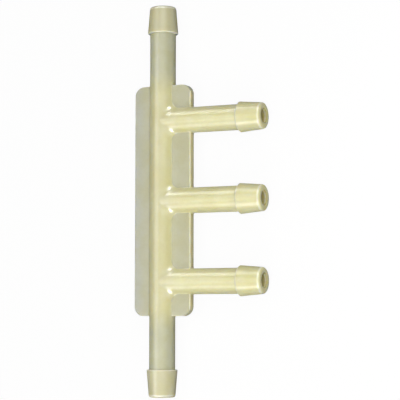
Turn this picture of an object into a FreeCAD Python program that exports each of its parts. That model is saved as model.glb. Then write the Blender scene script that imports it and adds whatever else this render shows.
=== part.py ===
import FreeCAD
import Part

import math
import os

# Five-way hose connector, moulded in one piece. A straight run ends in a barbed
# tail at each end, and three barbed branches leave it side by side. A flat web
# in the parting plane ties the run to the roots of the branches. The bores meet
# inside the run, so that the five ways are one space.
#
# Sizes are in millimetres. The origin is where the axes of the run and of the
# middle branch cross. +Y is along the run, +X along the branches, and +Z is up,
# square to the web, as the connector lies flat on its barbs.

BRANCHES = 3
PITCH = 20.0

# The branches' core pins are a little thinner than the run's, so that each one
# shuts off against it.
RUN_BORE_D = 3.6
BRANCH_BORE_LESS = 0.1
WALL = 1.425

# From the axis of an outer branch to the run's end face, and from the run's
# axis to a branch's end face.
RUN_REACH = 28.7
BRANCH_REACH = 27.6

# The run and the web lie a little further along +Y than the branches do.
RUN_SHIFT = 0.2

# A barb rises from the neck in a square shoulder and tapers to a rounded tip.
RUN_BARB_LENGTH = 6.8
BRANCH_BARB_LENGTH = 6.3
BARB_RISE = 0.6
TIP_RISE = 0.05
TIP_ROUND = 0.65
SHOULDER_BEVEL = 0.15
MOUTH_BEVEL = 0.15

# The radius that blends each branch into the run.
BRANCH_ROOT_ROUND = 2.75

# The web's reach is taken from the outer branches' axes at its ends, and from
# the run's axis at its sides.
WEB_THICKNESS = 2.2
WEB_PAST_BRANCH = 8.7
WEB_PLAIN_SIDE = 7.3
WEB_BRANCH_SIDE = 8.2
WEB_CORNER_ROUND = 2.4
WEB_EDGE_BEVEL = 0.25
WEB_ROOT_ROUND = 0.4

RUN_BORE_R = RUN_BORE_D / 2
BRANCH_BORE_R = (RUN_BORE_D - BRANCH_BORE_LESS) / 2
RUN_NECK_R = RUN_BORE_R + WALL
BRANCH_NECK_R = BRANCH_BORE_R + WALL
HALF_PATTERN = (BRANCHES - 1) * PITCH / 2
RUN_HALF_LENGTH = HALF_PATTERN + RUN_REACH
WEB_HALF_LENGTH = HALF_PATTERN + WEB_PAST_BRANCH
BRANCH_YS = [i * PITCH - HALF_PATTERN for i in range(BRANCHES)]

ORIGIN = FreeCAD.Vector(0, 0, 0)
X_AXIS = FreeCAD.Vector(1, 0, 0)
Y_AXIS = FreeCAD.Vector(0, 1, 0)
Z_AXIS = FreeCAD.Vector(0, 0, 1)

# Lengths that differ by less than this are the same.
TOUCH = 0.001
POINTS_ON_AN_EDGE = 5


def same(a, b):
    return abs(a - b) < TOUCH


def edges_where(solid, test):
    """The edges of a solid whose points all pass a test."""
    return [e for e in solid.Edges if all(test(p) for p in e.discretize(POINTS_ON_AN_EDGE))]


def on_skin(solid, p):
    return solid.Shells[0].distToShape(Part.Vertex(p))[0] < TOUCH


def on_a_branch(p, r):
    """Whether a point lies at this radius from the axis of a branch."""
    return any(same(math.hypot(p.y - y, p.z), r) for y in BRANCH_YS)


def hose_way(neck_r, reach, barb_length):
    """One way without its bore, along +X from the origin to its barbed tail."""
    def at(x, r):
        return FreeCAD.Vector(x, r, 0)

    shoulder = reach - barb_length
    barb_r = neck_r + BARB_RISE
    tip_r = neck_r + TIP_RISE
    taper = (barb_r - tip_r) / barb_length
    tip_start = at(reach - TIP_ROUND, tip_r + taper * TIP_ROUND)
    tip_end = at(reach, tip_r - TIP_ROUND)
    tip = Part.BezierCurve()
    tip.setPoles([tip_start, at(reach, tip_r), tip_end])
    outline = Part.makePolygon([
        tip_end,
        at(reach, 0),
        ORIGIN,
        at(0, neck_r),
        at(shoulder, neck_r),
        at(shoulder, barb_r - SHOULDER_BEVEL),
        at(shoulder + SHOULDER_BEVEL, barb_r - taper * SHOULDER_BEVEL),
        tip_start,
    ])
    return Part.Face(Part.Wire([outline, tip.toShape()])).revolve(ORIGIN, X_AXIS, 360)


def run():
    """The straight run: two ways back to back along Y."""
    ends = []
    for turn in (90, -90):
        way = hose_way(RUN_NECK_R, RUN_HALF_LENGTH, RUN_BARB_LENGTH)
        way.rotate(ORIGIN, Z_AXIS, turn)
        ends.append(way)
    solid = ends[0].fuse(ends[1]).removeSplitter()
    solid.translate(Y_AXIS * RUN_SHIFT)
    return solid


def pipes():
    """The run with its branches, each blended into it by one large radius."""
    solid = run()
    for y in BRANCH_YS:
        branch = hose_way(BRANCH_NECK_R, BRANCH_REACH, BRANCH_BARB_LENGTH)
        branch.translate(Y_AXIS * y)
        solid = solid.fuse(branch)

    def on_root(p):
        return same(math.hypot(p.x, p.z), RUN_NECK_R) and on_a_branch(p, BRANCH_NECK_R)

    return solid.makeFillet(BRANCH_ROOT_ROUND, edges_where(solid, on_root))


def web():
    """The flat web, with rounded corners and bevelled edges."""
    width = WEB_PLAIN_SIDE + WEB_BRANCH_SIDE
    length = 2 * WEB_HALF_LENGTH
    corner = FreeCAD.Vector(-WEB_PLAIN_SIDE, RUN_SHIFT - WEB_HALF_LENGTH, -WEB_THICKNESS / 2)
    solid = Part.makeBox(width, length, WEB_THICKNESS, corner)

    def on_corner(p):
        on_side = same(p.x, -WEB_PLAIN_SIDE) or same(p.x, WEB_BRANCH_SIDE)
        return on_side and same(abs(p.y - RUN_SHIFT), WEB_HALF_LENGTH)

    def on_rim(p):
        return same(abs(p.z), WEB_THICKNESS / 2)

    solid = solid.makeFillet(WEB_CORNER_ROUND, edges_where(solid, on_corner))
    return solid.makeChamfer(WEB_EDGE_BEVEL, edges_where(solid, on_rim))


def bored(solid):
    """The solid with its bores, each bevelled at its mouth."""
    start = Y_AXIS * (RUN_SHIFT - RUN_HALF_LENGTH)
    solid = solid.cut(Part.makeCylinder(RUN_BORE_R, 2 * RUN_HALF_LENGTH, start, Y_AXIS))
    for y in BRANCH_YS:
        solid = solid.cut(Part.makeCylinder(BRANCH_BORE_R, BRANCH_REACH, Y_AXIS * y, X_AXIS))

    def on_mouth(p):
        on_run_end = same(abs(p.y - RUN_SHIFT), RUN_HALF_LENGTH)
        if on_run_end:
            return same(math.hypot(p.x, p.z), RUN_BORE_R)
        return same(p.x, BRANCH_REACH) and on_a_branch(p, BRANCH_BORE_R)

    return solid.makeChamfer(MOUTH_BEVEL, edges_where(solid, on_mouth))


def connector_body():
    """The whole moulding."""
    tubes = pipes()
    plate = web()
    solid = tubes.fuse(plate)
    roots = edges_where(solid, lambda p: on_skin(tubes, p) and on_skin(plate, p))
    return bored(solid.makeFillet(WEB_ROOT_ROUND, roots)).Solids[0]


os.makedirs("parts", exist_ok=True)
connector_body().exportStep("parts/connector_body.step")
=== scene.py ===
import math

import bpy
from mathutils import Euler, Matrix, Vector


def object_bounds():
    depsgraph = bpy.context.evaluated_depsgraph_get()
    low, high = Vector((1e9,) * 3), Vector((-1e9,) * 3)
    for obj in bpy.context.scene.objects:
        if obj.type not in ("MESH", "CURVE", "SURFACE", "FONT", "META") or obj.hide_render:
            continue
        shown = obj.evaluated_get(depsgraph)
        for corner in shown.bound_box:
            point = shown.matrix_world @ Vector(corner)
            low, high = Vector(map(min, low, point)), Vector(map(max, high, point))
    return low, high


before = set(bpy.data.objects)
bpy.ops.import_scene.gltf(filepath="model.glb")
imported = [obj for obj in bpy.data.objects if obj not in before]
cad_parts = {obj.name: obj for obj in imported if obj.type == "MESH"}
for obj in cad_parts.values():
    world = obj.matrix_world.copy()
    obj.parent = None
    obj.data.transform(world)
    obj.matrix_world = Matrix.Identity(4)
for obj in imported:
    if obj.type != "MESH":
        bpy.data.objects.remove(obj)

cad_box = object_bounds()

# The photograph looks down on the connector as it lies flat, through a long
# lens. The camera leans towards the branches' tails and a little towards the
# run's lower end.
VIEW_LEAN_TO_TAILS = math.radians(25.72)
VIEW_LEAN_TO_LOWER_END = math.radians(4.59)
VIEW_ROLL = math.radians(0.06)
VIEW_DISTANCE = 0.383
VIEW_CENTRE = Vector((0.01034, 0, 0))
VIEW_LENS = 139.9
NEAREST_SEEN = 0.01
FARTHEST_SEEN = 20

camera = bpy.data.objects.new("camera", bpy.data.cameras.new("camera"))
bpy.context.scene.collection.objects.link(camera)
camera.rotation_mode = "ZXY"
camera.rotation_euler = Euler((VIEW_LEAN_TO_LOWER_END, VIEW_LEAN_TO_TAILS, VIEW_ROLL), "ZXY")
camera.location = VIEW_CENTRE + camera.rotation_euler.to_matrix() @ Vector((0, 0, VIEW_DISTANCE))
camera.data.lens = VIEW_LENS
camera.data.clip_start = NEAREST_SEEN
camera.data.clip_end = FARTHEST_SEEN
bpy.context.scene.camera = camera
bpy.context.scene.view_settings.view_transform = "Standard"


# The table top is a sheet of white card that runs on past the picture. The
# camera and gloss see it nearly white, and it keeps the connector's shadow.
def linear(hex_colour):
    """A colour written as sRGB hex, as the linear numbers that Blender takes."""
    parts = [int(hex_colour[i:i + 2], 16) / 255 for i in (1, 3, 5)]
    return [c / 12.92 if c <= 0.04045 else ((c + 0.055) / 1.055) ** 2.4 for c in parts] + [1]


def new_tree(owner):
    """The empty node tree of a material or a world."""
    owner.use_nodes = True
    owner.node_tree.nodes.clear()
    return owner.node_tree


# A Mix node's sockets for colours share their names with its others, so they
# go by number.
FIRST_COLOUR = 6
SECOND_COLOUR = 7
MIXED_COLOUR = 2


def add_node(tree, kind, inputs=(), **settings):
    """Adds a node with its settings and inputs.

    The inputs come in order or by name. Each is a value, or a link to another
    node or to one of its outputs. A node stands for its first output, or where
    it mixes two colours for the mixed one.
    """
    node = tree.nodes.new("ShaderNode" + kind)
    for name, value in settings.items():
        setattr(node, name, value)
    for name, value in inputs.items() if isinstance(inputs, dict) else enumerate(inputs):
        if isinstance(value, bpy.types.ShaderNode):
            value = value.outputs[MIXED_COLOUR if value.type == "MIX" else 0]
        if isinstance(value, bpy.types.NodeSocket):
            tree.links.new(value, node.inputs[name])
        else:
            node.inputs[name].default_value = value
    return node


CARD_WHITE = linear("#F4F4F2")
CARD_IN_THE_DARK = linear("#2C2C2C")
GLOW_WHITE = linear("#FFFFFF")
CARD_GLOW = 0.95
CARD_SIZE = 8

white_card = bpy.data.materials.new("white_card")
tree = new_tree(white_card)
path = add_node(tree, "LightPath").outputs
seen = path["Is Camera Ray"]
for ray in ("Is Glossy Ray", "Is Transmission Ray"):
    seen = add_node(tree, "Math", [seen, path[ray]], operation="MAXIMUM")
glow_share = add_node(tree, "Math", [seen, CARD_GLOW], operation="MULTIPLY")
paper = add_node(tree, "Mix", {
    "Factor": seen, FIRST_COLOUR: CARD_IN_THE_DARK, SECOND_COLOUR: CARD_WHITE,
}, data_type="RGBA")
card = add_node(tree, "BsdfDiffuse", {"Color": paper})
glow = add_node(tree, "Emission", {"Color": GLOW_WHITE, "Strength": 1})
card_or_glow = add_node(tree, "MixShader", [glow_share, card, glow])
add_node(tree, "OutputMaterial", {"Surface": card_or_glow})

bpy.ops.object.select_all(action="DESELECT")
bpy.ops.mesh.primitive_plane_add(size=CARD_SIZE, location=(0, 0, cad_box[0].z))
table_card = bpy.context.object
table_card.name = "table_card"
table_card.data.materials.append(white_card)

# The light is a dim grey room and soft boxes. The band boxes stand where the
# tubes mirror them towards the photographer, as soft bands along the run and
# the branches, and the glint boxes where the branches' roots do.
ROOM_GREY = linear("#2A2A2C")
RUN_WAY = Vector((0, 1, 0))

room = bpy.data.worlds.new("room")
bpy.context.scene.world = room
tree = new_tree(room)
sky = add_node(tree, "Background", {"Color": ROOM_GREY, "Strength": 1})
add_node(tree, "OutputWorld", {"Surface": sky})


def soft_box(name, direction, distance, watts, size, body=True, gloss=True):
    """A lamp that faces the connector from this direction.

    Its size is across the run and then along it, in metres as its distance is.
    """
    lamp = bpy.data.objects.new(name, bpy.data.lights.new(name, "AREA"))
    lamp.data.shape = "RECTANGLE"
    lamp.data.energy = watts
    lamp.data.size, lamp.data.size_y = size
    lamp.visible_diffuse = body
    lamp.visible_glossy = gloss
    towards = Vector(direction).normalized()
    lamp.location = towards * distance
    across = RUN_WAY.cross(towards).normalized()
    lamp.rotation_euler = Matrix((across, towards.cross(across), towards)).transposed().to_euler()
    bpy.context.scene.collection.objects.link(lamp)


soft_box("main_box", (0.54, -0.39, 0.74), 0.32, 0.22, (0.26, 0.26))
soft_box("upper_right_box", (0.50, 0.42, 0.76), 0.60, 0.55, (0.45, 0.45))
soft_box("overhead_box", (0.12, 0, 1), 0.60, 0.98, (0.50, 0.50))
soft_box("band_box", (-0.36, 0.06, 0.93), 0.62, 0.56, (0.14, 0.50))

# These light the gloss alone, so that the body keeps its plain colour.
soft_box("upper_band_box", (-0.43, 0.80, 0.42), 0.60, 2.7, (0.26, 0.30), body=False)
soft_box("lower_band_box", (-0.43, -0.76, 0.49), 0.60, 1.6, (0.26, 0.30), body=False)
soft_box("run_band_box", (-0.62, -0.02, 0.78), 0.61, 1.3, (0.30, 0.54), body=False)
soft_box("lower_tail_box", (-0.44, -0.28, 0.86), 0.60, 0.26, (0.20, 0.16), body=False)

soft_box("far_end_box", (0, 0.985, 0.17), 0.60, 0.20, (0.22, 0.22))
soft_box("upper_fill_box", (0.28, 0.74, 0.62), 0.60, 0.40, (0.30, 0.30))
soft_box("lower_fill_box", (0.03, -0.80, 0.60), 0.60, 0.90, (0.30, 0.30))

# These light the body alone, so that they add no bands of their own: the back
# from afar, and the branches' ends and the run's lower end from close by.
soft_box("back_fill_box", (-0.93, -0.12, 0.34), 0.60, 0.24, (0.30, 0.30), gloss=False)
soft_box("edge_box", (0.94, 0.03, 0.34), 0.105, 0.023, (0.03, 0.10), gloss=False)
soft_box("lower_end_box", (0.25, -0.90, 0.40), 0.11, 0.008, (0.04, 0.04), gloss=False)

# These light the gloss alone too.
soft_box("upper_glint_box", (0.28, 0.74, 0.62), 0.59, 2.3, (0.16, 0.16), body=False)
soft_box("lower_glint_box", (0.03, -0.80, 0.60), 0.59, 2.7, (0.18, 0.18), body=False)

# The connector is one moulding in natural nylon, injected into a polished
# mould. The resin is milky and lets light through. The greyer look that this
# gives thin walls is painted into the web's colour, as painted shade.

# The moulding's own sizes, in metres from its axes and its parting plane.
PITCH = 0.020
RUN_SHIFT = 0.0002
RUN_END = 0.0487
RUN_BARB = 0.0068
BRANCH_END = 0.0276
BRANCH_BARB = 0.0063
WEB_MIDDLE = 0.00045
WEB_HALF_WIDTH = 0.00775
WEB_HALF_LENGTH = 0.0287

# The pattern of the branches stops just short of where a fourth one would start,
# and the web's look goes on to just past its ends and its edge.
JUST_SHORT = 0.0001
LAST_OF_BRANCHES = 1.5 * PITCH - JUST_SHORT
PAST_WEB_ENDS = 0.0292
PAST_WEB_EDGE = 0.0086

natural_nylon = bpy.data.materials.new("natural_nylon_polished_mould")
tree = new_tree(natural_nylon)
place = add_node(tree, "TexCoord").outputs["Object"]
x, y, z = add_node(tree, "SeparateXYZ", [place]).outputs
height = add_node(tree, "Math", [z], operation="ABSOLUTE")
along_run = add_node(tree, "Math", [y, RUN_SHIFT], operation="SUBTRACT")
from_middle = add_node(tree, "Math", [along_run], operation="ABSOLUTE")

# How far a point is from the nearest axis, the run's or a branch's.
off_run = add_node(tree, "CombineXYZ", [x, 0, z])
from_run = add_node(tree, "VectorMath", [off_run], operation="LENGTH").outputs["Value"]
behind_run = add_node(tree, "Math", [x, 0], operation="MINIMUM")
in_pattern = add_node(tree, "Clamp", [y, -LAST_OF_BRANCHES, LAST_OF_BRANCHES])
beside_branch = add_node(tree, "Math", [in_pattern, PITCH / 2, -PITCH / 2], operation="WRAP")
off_branch = add_node(tree, "CombineXYZ", [behind_run, beside_branch, z])
from_branch = add_node(tree, "VectorMath", [off_branch], operation="LENGTH").outputs["Value"]
from_axis = add_node(tree, "Math", [from_run, from_branch], operation="MINIMUM")

# Each pair below is where a look starts to give way to the next, and where it
# has: by the distance from the nearest axis, by the height over the parting
# plane, across the run, along it from its middle, or past the web's outline.
TUBE_TO_WEB = (0.00325, 0.00340)
TUBE_TO_BORE = (0.00196, 0.00190)
TUBE_TO_WEB_HEIGHT = (0.00130, 0.00112)
WEB_SIDE_TO_BEVEL = (0.00082, 0.00090)
RUN_TO_BRANCH = (0.002, 0.007)
WEB_MIDDLE_TO_EDGE = (-0.0035, -0.0072)
RUN_TO_TAIL = (0.026, 0.033)
NECK_TO_BARB = (RUN_END - RUN_BARB - JUST_SHORT, RUN_END - RUN_BARB)
WEB_TOP_TO_RIM = (-0.00030, -0.00018)

past_run = add_node(tree, "MapRange", [x, *RUN_TO_BRANCH], interpolation_type="SMOOTHSTEP")
on_tail = add_node(tree, "MapRange", [from_middle, *RUN_TO_TAIL], interpolation_type="SMOOTHSTEP")
on_barb = add_node(tree, "MapRange", [from_middle, *NECK_TO_BARB])
in_bore = add_node(tree, "MapRange", [from_axis, *TUBE_TO_BORE])

# The web is whatever lies off the tubes, low, and inside its own outline.
on_web = add_node(tree, "MapRange", [from_axis, *TUBE_TO_WEB], interpolation_type="SMOOTHSTEP")
low = add_node(tree, "MapRange", [height, *TUBE_TO_WEB_HEIGHT], interpolation_type="SMOOTHSTEP")
before_ends = add_node(tree, "Math", [from_middle, PAST_WEB_ENDS], operation="LESS_THAN")
before_edge = add_node(tree, "Math", [x, PAST_WEB_EDGE], operation="LESS_THAN")
for share in (low, before_ends, before_edge):
    on_web = add_node(tree, "Math", [on_web, share], operation="MULTIPLY")
off_middle = add_node(tree, "Math", [x, WEB_MIDDLE], operation="SUBTRACT")
across_web = add_node(tree, "Math", [off_middle], operation="ABSOLUTE")
past_edge = add_node(tree, "Math", [across_web, WEB_HALF_WIDTH], operation="SUBTRACT")
past_end = add_node(tree, "Math", [from_middle, WEB_HALF_LENGTH], operation="SUBTRACT")
past_web = add_node(tree, "Math", [past_edge, past_end], operation="MAXIMUM")
# These masks place a painted highlight on the web's side and bevel, and let the web's painted shade
# deepen towards its edge on the far side of the run.
on_rim = add_node(tree, "MapRange", [past_web, *WEB_TOP_TO_RIM], interpolation_type="SMOOTHSTEP")
on_bevel = add_node(tree, "MapRange", [height, *WEB_SIDE_TO_BEVEL], interpolation_type="SMOOTHSTEP")
to_web_edge = add_node(tree, "MapRange", [x, *WEB_MIDDLE_TO_EDGE], interpolation_type="SMOOTHSTEP")

# The corners of the tips and of the shoulders are thin, and are painted whiter:
# a painted highlight for the light lines that their rounded edges catch. Each
# pair is how far a corner's middle is behind the tip's end or the shoulder, and
# half its width.
TIP_CORNER = (0.00050, 0.00022)
SHOULDER_CORNER = (0.00012, 0.00014)
PAINTED_GLINT_SHARE = 0.6

to_branch_end = add_node(tree, "Math", [BRANCH_END, x], operation="SUBTRACT")
to_run_end = add_node(tree, "Math", [RUN_END, from_middle], operation="SUBTRACT")
to_end = add_node(tree, "Math", [to_branch_end, to_run_end], operation="MINIMUM")
on_painted_glint = add_node(tree, "Math", [to_end, *TIP_CORNER], operation="COMPARE")
for to_tip, barb in ((to_branch_end, BRANCH_BARB), (to_run_end, RUN_BARB)):
    corner = [to_tip, barb - SHOULDER_CORNER[0], SHOULDER_CORNER[1]]
    on_shoulder_glint = add_node(tree, "Math", corner, operation="COMPARE")
    on_painted_glint = add_node(tree, "Math", [on_painted_glint, on_shoulder_glint], operation="MAXIMUM")
painted_glint_share = add_node(tree, "Math", [on_painted_glint, PAINTED_GLINT_SHARE], operation="MULTIPLY")

# The run's middle is creamy. The branches are painted a lighter cream, painted
# light for how brightly they are lit, and the necks greyer, a painted sheen for
# the whitish haze of gloss on them.
RUN_CREAM = linear("#DDD9AE")
BRANCH_CREAM_PAINTED_LIGHTER = linear("#E7E3B5")
NECK_PAINTED_SHEEN_GREY = linear("#CACAAC")
BARB_CREAM = linear("#D6D2AE")
# The web is painted greyer than the tubes, and greyer still towards its edge on the far side of the
# run: painted shade for the light that passes through it.
WEB_PAINTED_SHADE_BY_THE_RUN = linear("#C8C7AC")
WEB_PAINTED_SHADE_AT_ITS_EDGE = linear("#C2C3B4")
# The web's side and bevel are painted paler: a painted highlight along its rim.
PAINTED_LIGHT_WEB_SIDE = linear("#E0D9AE")
PAINTED_HIGHLIGHT_WEB_BEVEL = linear("#EFEDD6")
# The bore is painted a deeper tan: painted shade inside it.
BORE_PAINTED_SHADE_TAN = linear("#D2C88E")
# The corners' painted glints.
PAINTED_GLINT_WHITE = linear("#FBF9EA")

tube_colour = add_node(tree, "Mix", {
    "Factor": past_run, FIRST_COLOUR: RUN_CREAM, SECOND_COLOUR: BRANCH_CREAM_PAINTED_LIGHTER,
}, data_type="RGBA")
neck_sheen_and_barb = add_node(tree, "Mix", {
    "Factor": on_barb, FIRST_COLOUR: NECK_PAINTED_SHEEN_GREY, SECOND_COLOUR: BARB_CREAM,
}, data_type="RGBA")
web_painted_shade = add_node(tree, "Mix", {
    "Factor": to_web_edge, FIRST_COLOUR: WEB_PAINTED_SHADE_BY_THE_RUN, SECOND_COLOUR: WEB_PAINTED_SHADE_AT_ITS_EDGE,
}, data_type="RGBA")
painted_rim_highlight = add_node(tree, "Mix", {
    "Factor": on_bevel, FIRST_COLOUR: PAINTED_LIGHT_WEB_SIDE, SECOND_COLOUR: PAINTED_HIGHLIGHT_WEB_BEVEL,
}, data_type="RGBA")
web_and_painted_rim = add_node(tree, "Mix", {
    "Factor": on_rim, FIRST_COLOUR: web_painted_shade, SECOND_COLOUR: painted_rim_highlight,
}, data_type="RGBA")
# These mixes lay the painted sheen, shade, highlights and glints over the resin's own cream.
resin = tube_colour
for share, colour in (
    (on_tail, neck_sheen_and_barb),
    (on_web, web_and_painted_rim),
    (in_bore, BORE_PAINTED_SHADE_TAN),
    (painted_glint_share, PAINTED_GLINT_WHITE),
):
    resin = add_node(tree, "Mix", {
        "Factor": share, FIRST_COLOUR: resin, SECOND_COLOUR: colour,
    }, data_type="RGBA")

# The resin is uneven. Slow clouds from its flow and a fine mottle change the
# colour by a few hundredths, and patches of the skin copied the mould better
# than others, so that highlights on it waver and break up a little.
CLOUD_TINT = linear("#FAF9F0")
CLOUD_WIDTH = 0.00435
CLOUD_CONTRAST = (0.35, 0.65)
MOTTLE_TINT = linear("#FCFBF7")
MOTTLE_WIDTH = 0.000625
MOTTLE_CONTRAST = (0.35, 0.7)
PATCH_WIDTH = 0.002
PATCH_CONTRAST = (0.3, 0.7)

cloud_noise = add_node(tree, "TexNoise", {
    "Vector": place, "Scale": 1 / CLOUD_WIDTH, "Detail": 2, "Roughness": 0.5, "Distortion": 0.4,
})
mottle_noise = add_node(tree, "TexNoise", {
    "Vector": place, "Scale": 1 / MOTTLE_WIDTH, "Detail": 3, "Roughness": 0.6,
})
patches = add_node(tree, "TexNoise", {
    "Vector": place, "Scale": 1 / PATCH_WIDTH, "Detail": 4, "Roughness": 0.6,
})
clouds = add_node(tree, "MapRange", [cloud_noise, *CLOUD_CONTRAST], interpolation_type="SMOOTHSTEP")
mottle = add_node(tree, "MapRange", [mottle_noise, *MOTTLE_CONTRAST])
for share, tint in ((clouds, CLOUD_TINT), (mottle, MOTTLE_TINT)):
    resin = add_node(tree, "Mix", {
        "Factor": share, FIRST_COLOUR: resin, SECOND_COLOUR: tint,
    }, data_type="RGBA", blend_type="MULTIPLY")

# The relief is a slow sink of 1 micron every 3 mm or so, the mould's own
# texture of less than 0.1 micron, and the parting line: a ridge 0.1 mm wide and
# 15 microns high half-way up the tubes and the web's side. It makes highlights
# waver and gives the tubes a hairline seam.
SINK_WIDTH = 0.00303
SINK_DEPTH = 0.000001
GRAIN_WIDTH = 0.00011111
GRAIN_DEPTH = 0.00000008
PARTING_LINE_EDGE = (0.00002, 0.00006)
PARTING_LINE_HEIGHT = 0.000015

sinks = add_node(tree, "TexNoise", {"Vector": place, "Scale": 1 / SINK_WIDTH, "Detail": 1})
grain = add_node(tree, "TexNoise", {"Vector": place, "Scale": 1 / GRAIN_WIDTH, "Detail": 2})
parting_line = add_node(tree, "MapRange", [
    height, *PARTING_LINE_EDGE, 1, 0,
], interpolation_type="SMOOTHSTEP")
relief = add_node(tree, "Bump", {"Strength": 1, "Distance": SINK_DEPTH, "Height": sinks})
for pattern, depth in ((grain, GRAIN_DEPTH), (parting_line, PARTING_LINE_HEIGHT)):
    relief = add_node(tree, "Bump", {
        "Strength": 1, "Distance": depth, "Height": pattern, "Normal": relief,
    })

# The skin's gloss is soft, from a mould polished but not lapped. It is the coat,
# fullest where the skin faces the eye, so that highlights stay on top of the
# tubes and their sides keep the resin's own colour. The branches, which the
# mould's slides shaped, are polished less than the run, and the web is hazier.
GLOSS_FADE = (0.12, 0.45)
PATCH_GLOSS = (1, 0.9)
BRANCH_GLOSS = 0.55
WEB_GLOSS = 0.4
COAT_ROUGHNESS = 0.28
COAT_IOR = 1.7
SKIN_ROUGHNESS = (0.22, 0.36)
NYLON_IOR = 1.53
MILKINESS = 0.8
LIGHT_REACH = 0.0015
LIGHT_REACH_BY_COLOUR = (1, 0.85, 0.45)

facing = add_node(tree, "LayerWeight", {"Blend": 0.5}).outputs["Facing"]
gloss = add_node(tree, "MapRange", [facing, *GLOSS_FADE, 1, 0], interpolation_type="SMOOTHSTEP")
patch_gloss = add_node(tree, "MapRange", [patches, *PATCH_CONTRAST, *PATCH_GLOSS])
branch_gloss = add_node(tree, "MapRange", [past_run, 0, 1, 1, BRANCH_GLOSS])
web_gloss = add_node(tree, "MapRange", [on_web, 0, 1, 1, WEB_GLOSS])
for share in (patch_gloss, branch_gloss, web_gloss):
    gloss = add_node(tree, "Math", [gloss, share], operation="MULTIPLY")
skin_roughness = add_node(tree, "MapRange", [patches, *PATCH_CONTRAST, *SKIN_ROUGHNESS])
skin = add_node(tree, "BsdfPrincipled", {
    "Base Color": resin,
    "Roughness": skin_roughness,
    "IOR": NYLON_IOR,
    "Specular IOR Level": 0,
    "Normal": relief,
    "Coat Weight": gloss,
    "Coat Roughness": COAT_ROUGHNESS,
    "Coat IOR": COAT_IOR,
    "Coat Normal": relief,
    "Subsurface Weight": MILKINESS,
    "Subsurface Radius": LIGHT_REACH_BY_COLOUR,
    "Subsurface Scale": LIGHT_REACH,
}, subsurface_method="RANDOM_WALK")
add_node(tree, "OutputMaterial", {"Surface": skin})

connector_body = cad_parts["connector_body"]
connector_body.material_slots[0].material = natural_nylon
